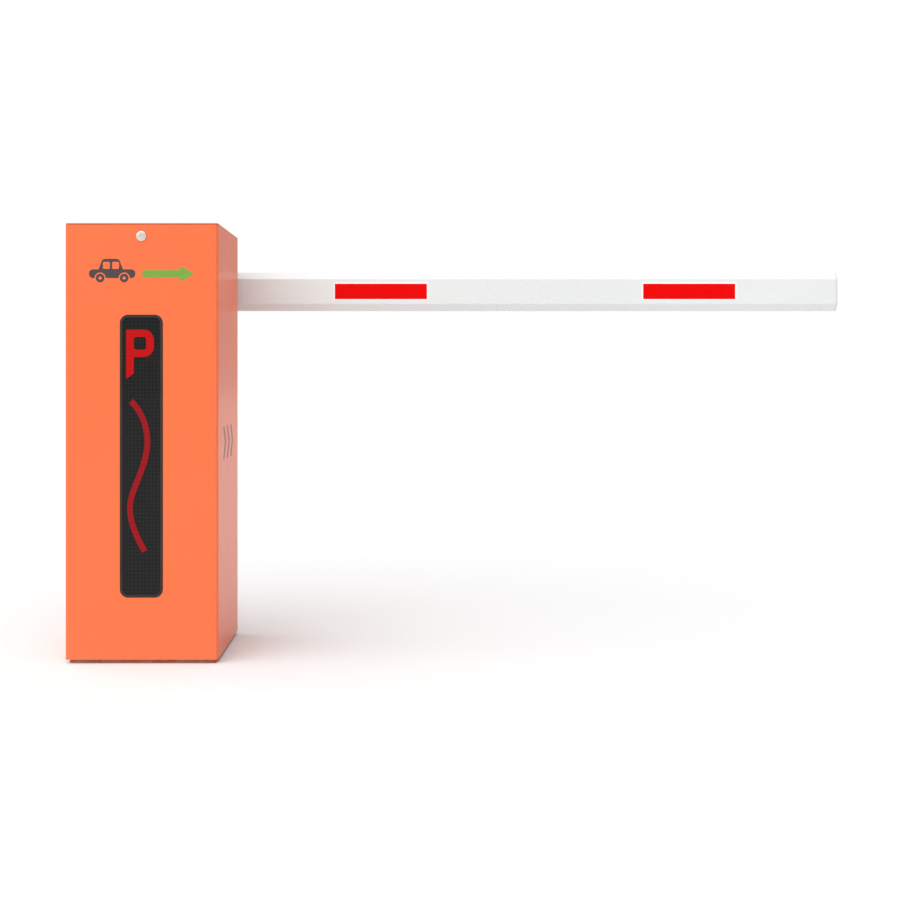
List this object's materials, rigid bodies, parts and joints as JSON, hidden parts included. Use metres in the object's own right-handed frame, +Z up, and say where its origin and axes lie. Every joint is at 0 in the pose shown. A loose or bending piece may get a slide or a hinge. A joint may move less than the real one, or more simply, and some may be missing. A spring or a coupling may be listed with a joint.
{
  "type": "parking barrier gate",
  "caption": "Parking barrier gate: orange sheet-steel cabinet with a lit display strip on its door, and a straight white octagonal boom with red reflective strips, driven by a crank inside.",
  "frame": {"origin": "centre of the cabinet's base, on the ground under the base plate", "axes": "+X along the closed boom towards its tip, -Y out of the front door, +Z up"},
  "size_m": [1.905, 0.4342, 1.01],
  "materials": {
    "cabinet_paint": "orange powder coat, semi-gloss",
    "base_paint": "dark brown paint, matt",
    "frame_paint": "dark grey powder coat, satin",
    "boom_coat": "white powder-coated aluminium",
    "reflective_red": "red reflective film with a white border",
    "cap_plastic": "light moulded plastic",
    "seal_rubber": "black rubber",
    "display_black": "smoked polycarbonate",
    "housing_plastic": "black moulded plastic",
    "board_green": "green circuit board",
    "symbol_red": "lit red diffuser",
    "flow_red": "lit dark red diffuser",
    "lock_chrome": "bright nickel plate",
    "plated_steel": "zinc-plated steel",
    "ground_steel": "ground steel",
    "spring_steel": "oiled spring steel",
    "cast_grey": "grey enamelled casting",
    "motor_alloy": "die-cast aluminium",
    "wheel_bronze": "cast bronze",
    "control_grey": "light grey moulded plastic",
    "dark_plastic": "black moulded plastic"
  },
  "bodies": {
    "root": {"base_plate": "base_paint", "cabinet_body": "cabinet_paint", "top_cover": "cabinet_paint", "top_cover_screws": "plated_steel", "door_seal": "seal_rubber", "hinge_brackets": "plated_steel", "mechanism_plate": "frame_paint", "bearing_housings": "cast_grey", "shaft_bearings": "ground_steel", "shaft_flange": "frame_paint", "shaft_seal": "seal_rubber", "frame_bolts": "plated_steel", "limit_switches": "dark_plastic", "stop_bracket": "frame_paint", "rubber_buffers": "seal_rubber", "gearbox_housing": "cast_grey", "gearbox_cover": "cast_grey", "gearbox_bolts": "plated_steel", "motor_body": "motor_alloy", "motor_fan_cover": "dark_plastic", "balance_springs": "spring_steel", "spring_anchor_bar": "frame_paint", "spring_adjusters": "plated_steel", "controller_box": "control_grey", "controller_cover": "control_grey", "control_board": "board_green", "cable_glands": "dark_plastic", "din_rail": "plated_steel", "circuit_breaker": "control_grey"},
    "door": {"front_door": "cabinet_paint", "door_stiffeners": "cabinet_paint", "display_gasket": "seal_rubber", "display_window": "display_black", "display_housing": "housing_plastic", "led_board": "board_green", "parking_symbol": "symbol_red", "flow_line": "flow_red", "lock_body": "lock_chrome", "hinge_pins": "plated_steel"},
    "lock": {"lock_barrel": "lock_chrome", "lock_cam": "plated_steel"},
    "arm": {"main_shaft": "ground_steel", "shaft_keys": "ground_steel", "rocker_lever": "frame_paint", "rocker_pins": "plated_steel", "limit_cam": "plated_steel", "arm_hub": "cast_grey", "boom": "boom_coat", "boom_clamp": "frame_paint", "boom_bolts": "plated_steel", "boom_end_caps": "cap_plastic", "reflective_strips": "reflective_red"},
    "crank": {"output_shaft": "ground_steel", "worm_wheel": "wheel_bronze", "crank_arm": "cast_grey", "crank_pin": "plated_steel"},
    "rod": {"connecting_rod": "plated_steel", "rod_ends": "plated_steel"},
    "rotor": {"worm_shaft": "ground_steel", "hand_wheel": "dark_plastic"}
  },
  "joints": [
    {"name": "arm_lift", "type": "hinge", "parent": "root", "child": "arm", "pos_m": [0, 0, 0.878], "axis": [0, -1, 0], "range_deg": [0, 90], "deforming": ["balance_springs"]},
    {"name": "crank_turn", "type": "hinge", "parent": "root", "child": "crank", "pos_m": [0, 0, 0.548], "axis": [0, -1, 0], "range_deg": [0, 90]},
    {"name": "rod_swing", "type": "hinge", "parent": "crank", "child": "rod", "pos_m": [0.05657, -0.0465, 0.49143], "axis": [0, -1, 0], "range_deg": [-90, 0]},
    {"name": "worm_spin", "type": "hinge", "parent": "root", "child": "rotor", "pos_m": [0.051, 0.068, 0.548], "axis": [0, 0, -1], "range_deg": [0, 3600]},
    {"name": "door_tilt", "type": "hinge", "parent": "root", "child": "door", "pos_m": [0, -0.1435, 0.013], "axis": [1, 0, 0], "range_deg": [0, 20]},
    {"name": "lock_turn", "type": "hinge", "parent": "door", "child": "lock", "pos_m": [0, -0.14, 0.98], "axis": [0, -1, 0], "range_deg": [0, 90]}
  ],
  "couplings": [
    {"joint": "crank_turn", "follows": "arm_lift", "ratio": 1},
    {"joint": "rod_swing", "follows": "arm_lift", "ratio": -1},
    {"joint": "worm_spin", "follows": "arm_lift", "ratio": 40}
  ]
}
